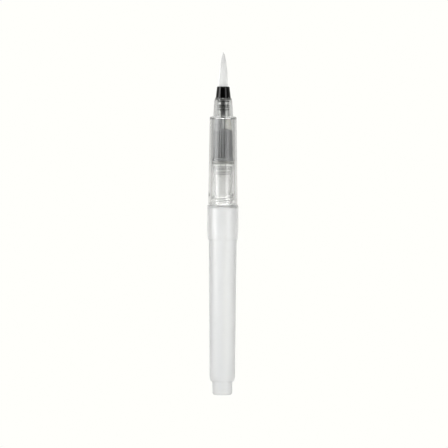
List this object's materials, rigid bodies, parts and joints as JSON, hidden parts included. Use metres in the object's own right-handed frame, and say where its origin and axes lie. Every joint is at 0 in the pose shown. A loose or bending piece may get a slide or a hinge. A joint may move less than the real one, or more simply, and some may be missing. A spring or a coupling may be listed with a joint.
{
  "type": "water brush pen",
  "caption": "Refillable brush pen: a translucent squeeze barrel feeds water through a clear screw-on head to a pointed nylon tuft in a black ferrule.",
  "frame": {"origin": "centre of the rear stub's flat end face, on which the pen stands", "axes": "+Z along the pen's axis from the rear stub to the tip of the tuft; +X towards the side of the head that holds the sponge"},
  "size_m": [0.0132, 0.013, 0.1441],
  "materials": {
    "frosted_barrel": "satin, translucent milky white",
    "natural_plug": "satin, natural translucent",
    "seal_rubber": "matt, natural silicone",
    "clear_shell": "polished, clear",
    "black_ferrule": "semi-gloss black",
    "clear_holder": "clear, slightly hazy",
    "nylon_bristle": "fine straight filaments, silky",
    "fused_root": "fused nylon, waxy",
    "dark_rod": "satin dark grey",
    "grey_feed": "satin smoky grey with fine grooves",
    "cream_sponge": "open-cell sponge"
  },
  "bodies": {
    "barrel": {"barrel": "frosted_barrel", "inner_plug": "natural_plug"},
    "seal": {"o_ring": "seal_rubber"},
    "head": {"head_shell": "clear_shell", "ferrule": "black_ferrule", "tuft_sleeve": "clear_holder", "bristle_tuft": "nylon_bristle", "root_plug": "fused_root", "feed_rod": "dark_rod", "feed_body": "grey_feed", "buffer_sponge": "cream_sponge"}
  },
  "joints": [
    {"name": "head_rise", "type": "slide", "parent": "barrel", "child": "seal", "axis": [0, 0, 1], "range_m": [0, 0.0045]},
    {"name": "head_unscrew", "type": "hinge", "parent": "seal", "child": "head", "pos_m": [0, 0, 0.0802], "axis": [0, 0, 1], "range_deg": [0, 540]}
  ],
  "couplings": [
    {"joint": "head_unscrew", "follows": "head_rise", "rad_per_m": 2094.4}
  ]
}
